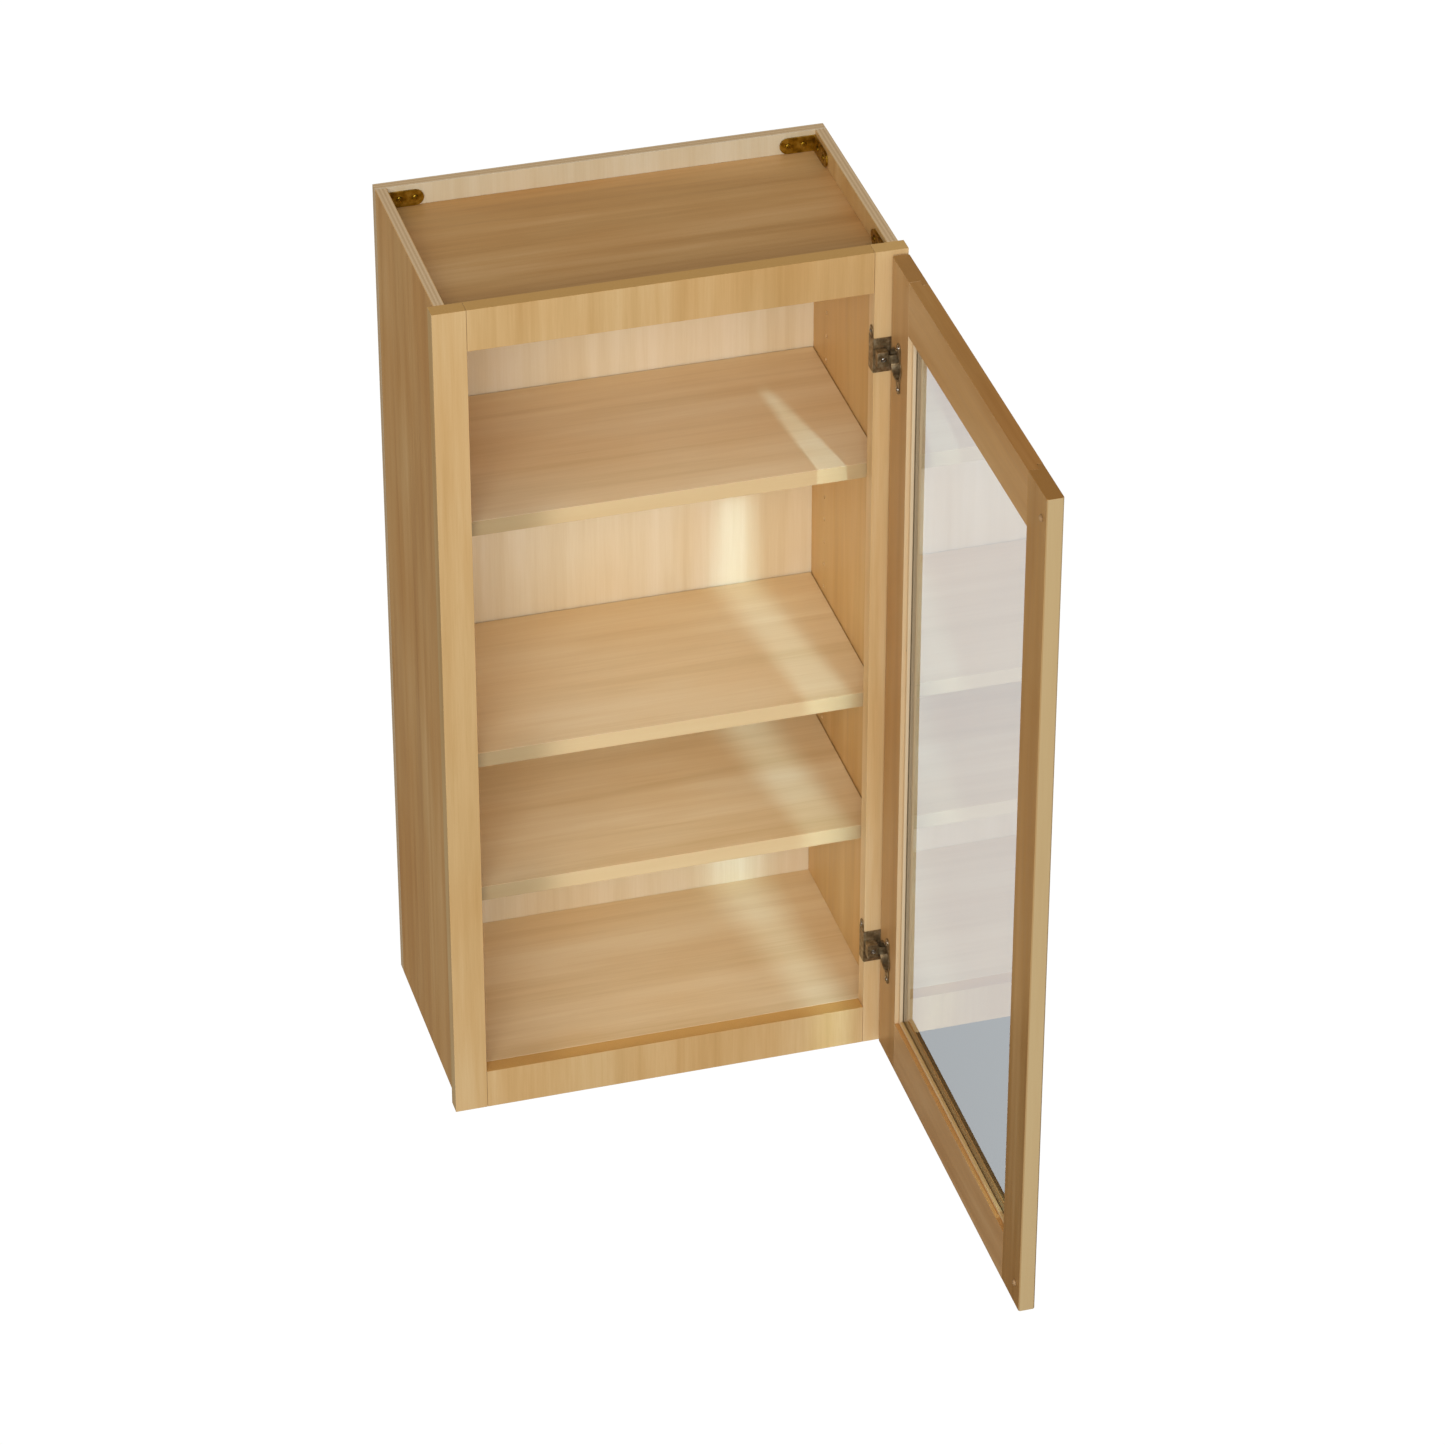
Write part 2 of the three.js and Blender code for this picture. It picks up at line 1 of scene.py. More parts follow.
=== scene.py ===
# Wall cabinet with a glazed shaker door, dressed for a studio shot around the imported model.
# Metres, +X to the right, +Y into the wall, +Z up, origin in the middle of the back.
import math

import bmesh
import bpy
from mathutils import Matrix, Vector


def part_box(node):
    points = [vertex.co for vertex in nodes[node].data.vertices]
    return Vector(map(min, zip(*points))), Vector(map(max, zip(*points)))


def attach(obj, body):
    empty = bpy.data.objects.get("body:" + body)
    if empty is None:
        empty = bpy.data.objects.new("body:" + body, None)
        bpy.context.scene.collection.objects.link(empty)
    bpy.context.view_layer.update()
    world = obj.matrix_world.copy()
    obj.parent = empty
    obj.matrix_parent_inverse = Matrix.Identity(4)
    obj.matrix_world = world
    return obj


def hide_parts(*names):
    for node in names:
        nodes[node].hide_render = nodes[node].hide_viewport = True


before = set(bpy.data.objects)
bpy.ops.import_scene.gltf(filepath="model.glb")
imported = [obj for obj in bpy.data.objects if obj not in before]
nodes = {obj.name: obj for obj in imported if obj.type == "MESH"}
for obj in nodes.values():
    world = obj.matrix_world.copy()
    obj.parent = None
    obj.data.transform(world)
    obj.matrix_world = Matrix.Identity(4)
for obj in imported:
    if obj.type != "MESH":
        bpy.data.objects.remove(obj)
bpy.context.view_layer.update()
scene = bpy.context.scene
mm = 0.001
weldGap = 0.00001
seamGap = 0.000001
print("frame loaded:", len(nodes), "nodes")


def linear(hexColour, alpha=1.0):
    channels = [int(hexColour[i:i + 2], 16) / 255 for i in (1, 3, 5)]
    return [c / 12.92 if c <= 0.04045 else ((c + 0.055) / 1.055) ** 2.4 for c in channels] + [alpha]


def addNode(tree, kind, settings=None, inputs=None):
    node = tree.nodes.new(kind)
    for key, value in (settings or {}).items():
        if key == "stops":  # places and colours of a colour ramp
            ramp = node.color_ramp
            while len(ramp.elements) < len(value):
                ramp.elements.new(0.5)
            for element, (position, colour) in zip(ramp.elements, value):
                element.position = position
                element.color = linear(colour) if isinstance(colour, str) else [colour] * 3 + [1]
        else:
            setattr(node, key, value)
    for key, value in (inputs or {}).items():
        if isinstance(value, bpy.types.NodeSocket):
            tree.links.new(value, node.inputs[key])
        else:
            node.inputs[key].default_value = value
    return node


def emptyMaterial(name):
    material = bpy.data.materials.new(name)
    material.use_nodes = True
    material.node_tree.nodes.clear()
    return material, material.node_tree


# Grain sizes are real ones: growth bands 20 to 50 mm, darker streaks 5 to 10 mm, fibres about 1 mm.
# Each kind has its size across and along the grain, then detail, roughness and distortion.
grainNoises = {
    "band": (0.042, 0.75, 3, 0.5, 0.5),
    "streak": (0.0085, 0.26, 4, 0.6, 0.2),
    "fibre": (0.0013, 0.05, 3, 0.6, 0.0),
    "fleck": (0.0022, 0.014, 2, 0.5, 0.0),
    "blotch": (0.13, 0.3, 2, 0.5, 0.0),
}
woodLook = {
    "shares": (("band", 0.5), ("streak", 0.27), ("fibre", 0.15)), "stops": (0.29, 0.46, 0.63),
    "blotchRange": {"From Min": 0.35, "From Max": 0.65},
    "fleckRange": {"From Min": 0.66, "From Max": 0.74, "To Max": 0.22},
    "plyRange": {"From Min": 0.8, "From Max": 0.6}, "turnedRange": {"From Min": 0.6, "From Max": 0.8},
    "frontRange": {"From Min": -0.6, "From Max": -0.8}, "roughRange": {"From Min": 0.3, "From Max": 0.7},
    "plyStops": (0.0, 0.07, 0.24, 0.42, 0.58, 0.76, 0.93), "plyShade": "#e3d3bd", "bandShade": "#e6d2b8",
    "poreScale": 1400.0, "smoother": 0.05, "rougher": 0.07, "fleckSink": -1.5,
    "relief": {"Strength": 0.25, "Distance": 0.15 * mm},
    "lacquer": {"IOR": 1.5, "Specular IOR Level": 0.4, "Coat Roughness": 0.3}}
mixed = {"data_type": "RGBA", "blend_type": "MIX"}
multiplied = {"data_type": "RGBA", "blend_type": "MULTIPLY"}


def mapleWood(name, look):
    material, tree = emptyMaterial(name)
    coords = addNode(tree, "ShaderNodeTexCoord")
    axis = look["grain"]
    noises = {}
    for kind, (across, along, detail, rough, distortion) in grainNoises.items():
        scale = [1 / across] * 3
        scale[axis] = 1 / along
        placed = addNode(tree, "ShaderNodeMapping", {}, {"Vector": coords.outputs["Object"], "Scale": scale})
        noises[kind] = addNode(tree, "ShaderNodeTexNoise", {}, {
            "Vector": placed.outputs[0], "Scale": 1.0, "Detail": detail, "Roughness": rough,
            "Distortion": distortion}).outputs["Fac"]
    figure = 0.0
    for kind, share in woodLook["shares"]:
        figure = addNode(tree, "ShaderNodeMath", {"operation": "MULTIPLY_ADD"},
                         {0: noises[kind], 1: share, 2: figure}).outputs[0]
    tone = addNode(tree, "ShaderNodeValToRGB", {
        "stops": list(zip(woodLook["stops"], (look["dark"], look["mid"], look["light"])))}, {"Fac": figure})
    warmth = addNode(tree, "ShaderNodeMapRange", {}, {
        "Value": noises["blotch"], "To Max": look["blotch"], **woodLook["blotchRange"]})
    toned = addNode(tree, "ShaderNodeMix", multiplied, {
        0: warmth.outputs[0], 6: tone.outputs[0], 7: linear(look["warm"])}).outputs[2]
    flecks = addNode(tree, "ShaderNodeMapRange", {}, {"Value": noises["fleck"], **woodLook["fleckRange"]})
    face = addNode(tree, "ShaderNodeMix", mixed, {
        0: flecks.outputs[0], 6: toned, 7: linear(look["dark"])}).outputs[2]

    # cut edges: plies across the thickness, or end grain with its fine pores
    normal = addNode(tree, "ShaderNodeSeparateXYZ", {}, {0: coords.outputs["Normal"]})
    if "ply" in look:
        across, low, thick = look["ply"]
        turned = addNode(tree, "ShaderNodeMath", {"operation": "ABSOLUTE"}, {0: normal.outputs[across]})
        edge = addNode(tree, "ShaderNodeMapRange", {}, {"Value": turned.outputs[0], **woodLook["plyRange"]})
        spot = addNode(tree, "ShaderNodeSeparateXYZ", {}, {0: coords.outputs["Object"]})
        depth = addNode(tree, "ShaderNodeMapRange", {}, {
            "Value": spot.outputs[across], "From Min": low, "From Max": low + thick})
        layers = ["light", "core", "coreDark", "core", "coreDark", "core", "light"]
        plies = addNode(tree, "ShaderNodeValToRGB", {
            "stops": [(place, look[layer]) for place, layer in zip(woodLook["plyStops"], layers)]},
            {"Fac": depth.outputs[0]})
        plies.color_ramp.interpolation = "CONSTANT"
        cut = addNode(tree, "ShaderNodeMix", multiplied, {
            0: noises["fibre"], 6: plies.outputs[0], 7: linear(woodLook["plyShade"])}).outputs[2]
    else:
        turned = addNode(tree, "ShaderNodeMath", {"operation": "ABSOLUTE"}, {0: normal.outputs[axis]})
        edge = addNode(tree, "ShaderNodeMapRange", {}, {
            "Value": turned.outputs[0], **woodLook["turnedRange"]})
        pores = addNode(tree, "ShaderNodeTexVoronoi", {}, {
            "Vector": coords.outputs["Object"], "Scale": woodLook["poreScale"]})
        cut = addNode(tree, "ShaderNodeMix", mixed, {
            0: pores.outputs["Distance"], 6: linear(look["dark"]), 7: linear(look["mid"])}).outputs[2]
    colour = addNode(tree, "ShaderNodeMix", mixed, {0: edge.outputs[0], 6: face, 7: cut}).outputs[2]
    if "band" in look:  # paler, straighter edge banding along the front edges of the shelves; on the door stiles and glazing beads the band is painted light on the faces that point along -Y
        front = addNode(tree, "ShaderNodeMapRange", {}, {
            "Value": normal.outputs[1], **woodLook["frontRange"]})
        banded = addNode(tree, "ShaderNodeMix", multiplied, {
            0: figure, 6: linear(look["band"]), 7: linear(woodLook["bandShade"])}).outputs[2]
        colour = addNode(tree, "ShaderNodeMix", mixed, {
            0: front.outputs[0], 6: colour, 7: banded}).outputs[2]
    if "upper" in look:  # painted shade: faces that point up get a darker, warmer tint for the weaker light that falls on them
        up = addNode(tree, "ShaderNodeMapRange", {}, {"Value": normal.outputs[2], **woodLook["turnedRange"]})
        colour = addNode(tree, "ShaderNodeMix", multiplied, {
            0: up.outputs[0], 6: colour, 7: linear(look["upper"])}).outputs[2]

    rough = addNode(tree, "ShaderNodeMapRange", {}, {
        "Value": noises["streak"], "To Min": look["rough"] - woodLook["smoother"],
        "To Max": look["rough"] + woodLook["rougher"], **woodLook["roughRange"]})
    relief = addNode(tree, "ShaderNodeMath", {"operation": "MULTIPLY_ADD"}, {
        0: flecks.outputs[0], 1: woodLook["fleckSink"], 2: noises["fibre"]})
    bump = addNode(tree, "ShaderNodeBump", {}, {"Height": relief.outputs[0], **woodLook["relief"]})
    shader = addNode(tree, "ShaderNodeBsdfPrincipled", {}, {
        "Base Color": colour, "Roughness": rough.outputs[0], "Normal": bump.outputs[0],
        "Coat Weight": look["coat"], **woodLook["lacquer"]})
    addNode(tree, "ShaderNodeOutputMaterial", {}, {"Surface": shader.outputs[0]})
    return material


def lowThick(node, axis):
    low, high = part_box(node)
    return axis, low[axis], high[axis] - low[axis]


# Sliced maple veneer on plywood under satin lacquer: pale and even inside, a deeper honey outside.
# Fine fibres break up the sheen and the cut edges show their plies.
innerLook = {"grain": 2, "dark": "#d8c6a2", "mid": "#e2d4b6", "light": "#eadfc8", "warm": "#f6e6cc",
             "core": "#efd4ab", "coreDark": "#dfc196", "rough": 0.46, "coat": 0.1, "blotch": 0.5}
shelfLook = dict(innerLook, grain=0, dark="#d8be90", mid="#e6cfa6", light="#efddb8", warm="#f4e2c6")
outerLook = dict(innerLook, dark="#cc9b63", mid="#dcae70", light="#e8be83", warm="#f2dab6")
# the right panel, whose inside face shows: a slightly darker, less saturated copy of the outer palette,
# painted shade
rightPaintedShadeLook = dict(outerLook, dark="#c29b64", mid="#d2ae73", light="#debe88")
topLook = dict(outerLook, grain=0, dark="#bb8e55", mid="#cda065", light="#dab079")
# Planed solid maple under satin lacquer: long straight figure, end grain darker at the cut ends.
frameLook = {"grain": 2, "dark": "#cba468", "mid": "#dab67e", "light": "#e6c896", "warm": "#f4e0c0",
             # upper: painted shade, a darker warmer tint multiplied into faces that point up
             "rough": 0.42, "coat": 0.15, "blotch": 0.5, "upper": "#fbedcd"}
doorLook = dict(frameLook, dark="#ad814c", mid="#bf945d", light="#cea873")


flatTurn = math.radians(1)
easeTurn = math.radians(40)


def easeCad(node, width, segments=2):
    piece = nodes[node]
    weld = piece.modifiers.new("weld", "WELD")
    weld.merge_threshold = weldGap
    flat = piece.modifiers.new("flat", "DECIMATE")
    flat.decimate_type = "DISSOLVE"
    flat.angle_limit = flatTurn
    ease = piece.modifiers.new("ease", "BEVEL")
    ease.width = width
    ease.segments = segments
    ease.limit_method = "ANGLE"
    ease.angle_limit = easeTurn
    ease.use_clamp_overlap = True
    ease.harden_normals = True


def dress(node, material):
    piece = nodes[node]
    piece.data.materials.clear()
    piece.data.materials.append(material)


# carcass, face frame and door, with every long edge a little eased
easeWidths = {"side": 0.5 * mm, "panel": 0.4 * mm, "shelf": 0.7 * mm, "frame": 0.4 * mm, "door": 0.5 * mm,
              "bead": 1.2 * mm}
beadNodes = ["hinge_side_glazing_bead", "free_side_glazing_bead", "top_glazing_bead", "bottom_glazing_bead"]
for side, look in (("left", outerLook), ("right", rightPaintedShadeLook)):
    node = side + "_side_panel"
    easeCad(node, easeWidths["side"])
    dress(node, mapleWood(side + "SideMapleVeneer", dict(look, ply=lowThick(node, 0))))
for place, look, across in (("back", innerLook, 1), ("top", topLook, 2), ("bottom", shelfLook, 2)):
    node = place + "_panel"
    easeCad(node, easeWidths["panel"])
    dress(node, mapleWood(place + "MapleVeneer", dict(look, ply=lowThick(node, across))))
for level in ("upper", "middle", "lower"):
    node = level + "_shelf"
    easeCad(node, easeWidths["shelf"])
    dress(node, mapleWood(level + "ShelfMapleVeneer", dict(
        shelfLook, ply=lowThick(node, 2), band="#c6b188")))
frameMaple = mapleWood("frameSolidMaple", frameLook)
# the right stile: a paler copy of the frame maple, painted light on its front
rightStilePaintedLightMaple = mapleWood("rightStileSolidMaple", dict(
    frameLook, dark="#d8b378", mid="#e6c48e", light="#efd4a6"))
for node, maple in (("left_frame_stile", frameMaple), ("right_frame_stile", rightStilePaintedLightMaple),
                    ("top_frame_rail", frameMaple), ("bottom_frame_rail", frameMaple)):
    easeCad(node, easeWidths["frame"])
    dress(node, maple)
# the hinge stile's band is painted light on its faces that point along -Y
doorMaple = mapleWood("doorSolidMaple", dict(doorLook, band="#f2dcb4"))
doorRailMaple = mapleWood("doorRailSolidMaple", dict(doorLook, grain=1))
# the door's bottom rail: a lighter copy of the door maple, painted light
lowRailPaintedLightMaple = mapleWood("doorLowRailSolidMaple", dict(
    doorLook, grain=1, dark="#bd9260", mid="#cfa571", light="#dcb887"))
# the free stile: a darker copy of the door maple, painted shade, with its band painted light on the faces
# that point along -Y
freeStilePaintedShadeMaple = mapleWood("freeStileSolidMaple", dict(
    doorLook, dark="#a4773f", mid="#b48950", light="#c49c66", band="#d2bc8e"))
for node, maple in (("door_hinge_stile", doorMaple), ("door_free_stile", freeStilePaintedShadeMaple),
                    ("door_top_rail", doorRailMaple), ("door_bottom_rail", lowRailPaintedLightMaple)):
    easeCad(node, easeWidths["door"])
    dress(node, maple)
# the glazing beads: a much lighter copy of the door maple with a lighter band, painted light
beadPaintedLightMaple = mapleWood("beadMouldedMaple", dict(
    doorLook, dark="#d0b285", mid="#dcc093", light="#e6cda4", band="#f4e2c2"))
for node in beadNodes:
    easeCad(node, easeWidths["bead"], 3)
    dress(node, beadPaintedLightMaple)
print("carcass, face frame and door done")


# Clear float glass, polished: it mirrors far more at a low angle than head on.
glassLook = {"tint": "#e9ecee", "index": 1.5, "smear": {"Scale": 6.0, "Detail": 3.0},
             "smearRange": {"From Min": 0.4, "From Max": 0.7, "To Min": 0.015, "To Max": 0.045}}
glassPane, tree = emptyMaterial("clearFloatGlass")
coords = addNode(tree, "ShaderNodeTexCoord")
smear = addNode(tree, "ShaderNodeTexNoise", {}, {"Vector": coords.outputs["Object"], **glassLook["smear"]})
smearRough = addNode(tree, "ShaderNodeMapRange", {}, {
    "Value": smear.outputs["Fac"], **glassLook["smearRange"]})
clear = addNode(tree, "ShaderNodeBsdfTransparent", {}, {"Color": linear(glassLook["tint"])})
mirror = addNode(tree, "ShaderNodeBsdfAnisotropic", {}, {
    "Color": (1, 1, 1, 1), "Roughness": smearRough.outputs[0]})
# both faces of the pane mirror, which together give 2F / (1 + F), and only the front one is shaded
glance = addNode(tree, "ShaderNodeFresnel", {}, {"IOR": glassLook["index"]})
twice = addNode(tree, "ShaderNodeMath", {"operation": "MULTIPLY"}, {0: glance.outputs[0], 1: 2.0})
oneMore = addNode(tree, "ShaderNodeMath", {"operation": "ADD"}, {0: glance.outputs[0], 1: 1.0})
bothFaces = addNode(tree, "ShaderNodeMath", {"operation": "DIVIDE"}, {
    0: twice.outputs[0], 1: oneMore.outputs[0]})
side = addNode(tree, "ShaderNodeNewGeometry")
front = addNode(tree, "ShaderNodeMath", {"operation": "SUBTRACT"}, {0: 1.0, 1: side.outputs["Backfacing"]})
share = addNode(tree, "ShaderNodeMath", {"operation": "MULTIPLY"}, {
    0: bothFaces.outputs[0], 1: front.outputs[0]})
pane = addNode(tree, "ShaderNodeMixShader", {}, {
    0: share.outputs[0], 1: clear.outputs[0], 2: mirror.outputs[0]})
addNode(tree, "ShaderNodeOutputMaterial", {}, {"Surface": pane.outputs[0]})
dress("glass_pane", glassPane)
print("glass done")

# how every plated or moulded surface is broken up by cloud and grit
platedLook = {"stops": (0.35, 0.5, 0.66), "gritRange": {"From Min": 0.3, "From Max": 0.7},
              "smoother": 0.06, "rougher": 0.08, "relief": {"Strength": 0.2, "Distance": 0.05 * mm}}


def smallParts(name, look):
    material, tree = emptyMaterial(name)
    coords = addNode(tree, "ShaderNodeTexCoord")
    cloud = addNode(tree, "ShaderNodeTexNoise", {}, {
        "Vector": coords.outputs["Object"], "Scale": 1 / look["cloud"], "Detail": 4.0})
    tone = addNode(tree, "ShaderNodeValToRGB", {
        "stops": list(zip(platedLook["stops"], (look["dark"], look["mid"], look["light"])))},
        {"Fac": cloud.outputs["Fac"]})
    grit = addNode(tree, "ShaderNodeTexNoise", {}, {
        "Vector": coords.outputs["Object"], "Scale": 1 / look["grit"], "Detail": 2.0})
    rough = addNode(tree, "ShaderNodeMapRange", {}, {
        "Value": grit.outputs["Fac"], "To Min": look["rough"] - platedLook["smoother"],
        "To Max": look["rough"] + platedLook["rougher"], **platedLook["gritRange"]})
    bump = addNode(tree, "ShaderNodeBump", {}, {"Height": grit.outputs["Fac"], **platedLook["relief"]})
    shader = addNode(tree, "ShaderNodeBsdfPrincipled", {}, {
        "Base Color": tone.outputs[0], "Roughness": rough.outputs[0], "Normal": bump.outputs[0],
        **look["surface"]})
    addNode(tree, "ShaderNodeOutputMaterial", {}, {"Surface": shader.outputs[0]})
    return material


# Nickel plate over pressed steel, dulled by handling: its warm brown colour is a painted reflection of the
# maple around it.
nickelPlate = smallParts("nickelPlatedSteel", {
    "dark": "#7f6a4c", "mid": "#98825f", "light": "#b8a482", "cloud": 0.006, "grit": 0.0006, "rough": 0.42,
    "surface": {"Metallic": 0.7}})
# Barrel-plated bright zinc: a clean pale glint on screws and pegs.
brightZinc = smallParts("brightZincSteel", {
    "dark": "#a9a6a0", "mid": "#c4c1bb", "light": "#d8d5cf", "cloud": 0.004, "grit": 0.0005, "rough": 0.28,
    "surface": {"Metallic": 1.0}})
# Yellow chromate over zinc: brassy, clouded with greener and browner passages.
yellowZinc = smallParts("yellowChromateZinc", {
    "dark": "#8a6a1c", "mid": "#b08c2c", "light": "#c9a94a", "cloud": 0.007, "grit": 0.0008, "rough": 0.36,
    "surface": {"Metallic": 1.0}})
# Moulded clear soft rubber: takes on the wood under it, with light carried a little way in.
clearRubber = smallParts("softClearRubber", {
    "dark": "#a07c50", "mid": "#b18c5f", "light": "#c09c70", "cloud": 0.004, "grit": 0.0006, "rough": 0.5,
    "surface": {"Metallic": 0.0, "IOR": 1.52, "Subsurface Weight": 0.3,
                "Subsurface Radius": (0.002, 0.002, 0.002), "Subsurface Scale": 1.0}})
bracketEase = 0.4 * mm
for node in nodes:
    if "bracket" in node:
        dress(node, yellowZinc)
        easeCad(node, bracketEase)
    elif "screw" in node or "pin" in node:
        dress(node, brightZinc)
    elif "hinge_base" in node or "hinge_arm" in node or "hinge_cup" in node:
        dress(node, nickelPlate)
    elif "bumper" in node:
        dress(node, clearRubber)
print("metals done")


def arcPoints(centre, radius, degrees):
    return [(centre[0] + radius * math.cos(math.radians(a)), centre[1] + radius * math.sin(math.radians(a)))
            for a in degrees]


def addBlock(bm, low, high):
    made = bmesh.ops.create_cube(bm, size=1)["verts"]
    bmesh.ops.scale(bm, vec=Vector(high) - Vector(low), verts=made)
    bmesh.ops.translate(bm, vec=(Vector(high) + Vector(low)) / 2, verts=made)
    return made


def addPrism(bm, outline, depth, place):
    corners = [bm.verts.new((a, b, 0)) for a, b in outline]
    base = bm.faces.new(corners)
    grown = bmesh.ops.extrude_face_region(bm, geom=[base])["geom"]
    raised = [part for part in grown if isinstance(part, bmesh.types.BMVert)]
    bmesh.ops.translate(bm, vec=(0, 0, depth), verts=raised)
    bmesh.ops.transform(bm, matrix=place, verts=corners + raised)


def addTurned(bm, outline, place, steps=32):
    before = set(bm.verts)
    line = [bm.verts.new((radius, 0, height)) for radius, height in outline]
    edges = [bm.edges.new(pair) for pair in zip(line, line[1:])]
    bmesh.ops.spin(bm, geom=line + edges, cent=(0, 0, 0), axis=(0, 0, 1), angle=2 * math.pi,
                   steps=steps, use_merge=True)
    made = [v for v in bm.verts if v not in before]
    bmesh.ops.remove_doubles(bm, verts=made, dist=seamGap)
    made = [v for v in bm.verts if v not in before]
    bmesh.ops.transform(bm, matrix=place, verts=made)


def easeAll(bm, width, segments=2):
    sharp = [e for e in bm.edges if e.is_manifold and e.calc_face_angle(0) > easeTurn]
    bmesh.ops.bevel(bm, geom=sharp, offset=width, affect="EDGES", segments=segments, profile=0.5,
                    material=-1, clamp_overlap=True)


def joinInto(bm, extra):
    held = bpy.data.meshes.new("held")
    extra.to_mesh(held)
    extra.free()
    bm.from_mesh(held)
    bpy.data.meshes.remove(held)


def makeObject(name, bm):
    bmesh.ops.recalc_face_normals(bm, faces=bm.faces)
    mesh = bpy.data.meshes.new(name)
    bm.to_mesh(mesh)
    bm.free()
    made = bpy.data.objects.new(name, mesh)
    scene.collection.objects.link(made)
    return made


def carve(bm, cutterBm):
    piece = makeObject("work", bm)
    cutter = makeObject("cutter", cutterBm)
    cut = piece.modifiers.new("cut", "BOOLEAN")
    cut.object = cutter
    cut.solver = "EXACT"
    cut.use_self = True  # the two arms of a cross recess cross each other
    cut.operation = "DIFFERENCE"
    bpy.context.view_layer.update()
    carved = bmesh.new()
    carved.from_object(piece, bpy.context.evaluated_depsgraph_get())
    for old in (piece, cutter):
        bpy.data.meshes.remove(old.data)
    return carved


def finishPiece(name, bm, body, material, stoodFor=(), angle=35):
    piece = makeObject(name, bm)
    piece.data.materials.append(material)
    piece.data.shade_smooth()
    piece.data.set_sharp_from_angle(angle=math.radians(angle))
    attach(piece, body)
    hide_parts(*stoodFor)


def facing(point, direction):
    turn = Vector(direction).to_track_quat("Z", "Y").to_matrix().to_4x4()
    return Matrix.Translation(Vector(point)) @ turn


# Screw heads with a cross recess, each with its underside on a point and looking along a direction.
# The section and the recess are shares of the head's radius and height.
screwLook = {"section": [(0, -1), (0.45, -1), (0.45, 0), (0.96, 0), (1, 0.14), (0.94, 0.5), (0.72, 0.85),
                         (0.4, 1), (0, 1)],
             "crossLong": 0.62, "crossWide": 0.17, "crossDeep": 0.75, "past": 1.5, "steps": 28}


def screwHeads(spots, radius, height):
    heads = bmesh.new()
    cutters = bmesh.new()
    section = [(radius * share, height * rise) for share, rise in screwLook["section"]]
    long, wide = radius * screwLook["crossLong"], radius * screwLook["crossWide"]
    recessFloor = height * (1 - screwLook["crossDeep"])
    for point, direction in spots:
        place = facing(point, direction)
        addTurned(heads, section, place, screwLook["steps"])
        for a, b in ((long, wide), (wide, long)):
            arm = addBlock(cutters, (-a, -b, recessFloor), (a, b, height * screwLook["past"]))
            bmesh.ops.transform(cutters, matrix=place, verts=arm)
    return carve(heads, cutters)


# shelf pins: a plain zinc peg with a rounded nose and a groove, whose places are shares of its length
pinLook = {"nose": 0.7 * mm, "groove": 0.3 * mm, "grooveAt": (0.42, 0.45, 0.5, 0.53)}
for node in [n for n in nodes if "shelf_pin" in n]:
    low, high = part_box(node)
    radius, length = (high.z - low.z) / 2, high.x - low.x
    middle = (low + high) / 2
    inward = 1 if node.endswith("left") else -1
    start = Vector((low.x if inward > 0 else high.x, middle.y, middle.z))
    nose, groove = pinLook["nose"], pinLook["groove"]
    before, floorStart, floorEnd, after = [length * share for share in pinLook["grooveAt"]]
    bm = bmesh.new()
    addTurned(bm, [
        (0, 0), (radius - nose, 0), (radius, nose), (radius, before),
        (radius - groove, floorStart), (radius - groove, floorEnd), (radius, after),
        (radius, length - nose * 1.6), (radius - nose * 0.5, length - nose * 0.5),
        (radius - nose * 1.6, length), (0, length)], facing(start, (inward, 0, 0)))
    finishPiece(node.replace("shelf_pin", "peg"), bm, "cabinet", brightZinc, [node])
print("shelf pegs done")

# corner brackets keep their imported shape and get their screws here
bracketLook = {"holes": (14 * mm, 32 * mm), "sideStretch": 50 / 42, "thick": 2.4 * mm,
               "head": 3.7 * mm, "dome": 1.3 * mm}
for node in [n for n in nodes if "bracket" in n]:
    low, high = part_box(node)
    inX = 1 if node.endswith("left") else -1
    inY = -1 if "rear" in node else 1
    cornerX = low.x if inX > 0 else high.x
    cornerY = high.y if inY < 0 else low.y
    height = (low.z + high.z) / 2
    thick = bracketLook["thick"]
    spots = []
    for away in bracketLook["holes"]:
        sideAway = away * bracketLook["sideStretch"]
        spots.append(((cornerX + inX * away, cornerY + inY * thick, height), (0, inY, 0)))
        spots.append(((cornerX + inX * thick, cornerY + inY * sideAway, height), (inX, 0, 0)))
    bm = screwHeads(spots, bracketLook["head"], bracketLook["dome"])
    finishPiece(node.replace("bracket", "bracket_screws"), bm, "cabinet", yellowZinc)
print("bracket screws done")

# hinges: a wrap-round base with pressed ribs, a gooseneck arm and a deep drawn cup
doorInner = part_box("door_hinge_stile")[0].x
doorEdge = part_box("door_hinge_stile")[1].y
sheet = 1 * mm
pinRadius = 0.9 * mm
chamfer = 0.3 * mm

# the base: an L of sheet round the stile's edge with a slot, two ribs and a tab for its screw
wrapLook = {
    "halfHeight": 21.5 * mm, "corner": 2.4 * mm, "ease": 0.3 * mm,
    "slot": (13.3 * mm, 5.5 * mm), "slotHalf": (4.5 * mm, 1.1 * mm), "slotAhead": 3 * mm,
    "slotDeep": 3.7 * mm, "tabWide": 11 * mm, "tabTop": 13 * mm, "tabRoot": 2 * mm, "tabEase": 0.2 * mm,
    "ribs": (17.2 * mm, 20.6 * mm), "ribWide": 1.5 * mm, "ribProud": 0.5 * mm, "ribHalf": 17 * mm,
    "ribEase": 0.4 * mm}


